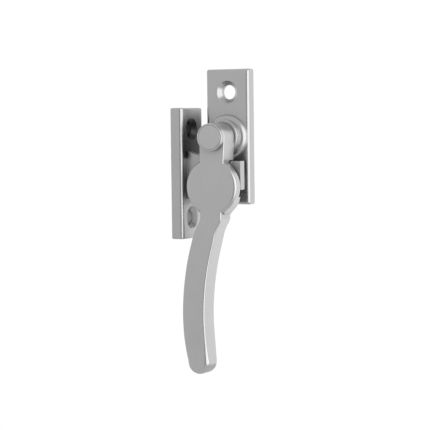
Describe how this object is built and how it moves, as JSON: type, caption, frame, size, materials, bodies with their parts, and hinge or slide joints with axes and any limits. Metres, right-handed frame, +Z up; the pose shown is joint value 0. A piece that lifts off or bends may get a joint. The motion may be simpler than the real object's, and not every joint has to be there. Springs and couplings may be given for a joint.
{
  "type": "cockspur window handle",
  "caption": "Casement window handle: a curved lever with a round disc turns on a screwed backplate and closes over the tongue of a hook plate.",
  "frame": {"origin": "on the pivot axis at the backplate's back plane, which is also the centre of the backplate's screw pattern", "axes": "+Z up along the screw line, -Y towards the room, the hook plate on the -X side"},
  "size_m": [0.0308, 0.0205, 0.1247],
  "materials": {
    "satin_casting": "satin",
    "satin_pin": "satin",
    "bush_brass": "turned",
    "washer_steel": "bright zinc"
  },
  "bodies": {
    "backplate": {"backplate": "satin_casting", "pivot_bush": "bush_brass", "thrust_washer": "washer_steel", "spring_washer": "washer_steel"},
    "handle": {"handle": "satin_casting", "pivot_pin": "satin_pin", "rear_washer": "washer_steel"},
    "hook_plate": {"hook_plate": "satin_casting"}
  },
  "joints": [
    {"name": "handle_turn", "type": "hinge", "parent": "backplate", "child": "handle", "pos_m": [0, 0, 0], "axis": [0, -1, 0], "range_deg": [0, 105]},
    {"name": "hook_plate_lift_off", "type": "slide", "parent": "backplate", "child": "hook_plate", "axis": [-1, 0, 0], "range_m": [0, 0.04]}
  ]
}
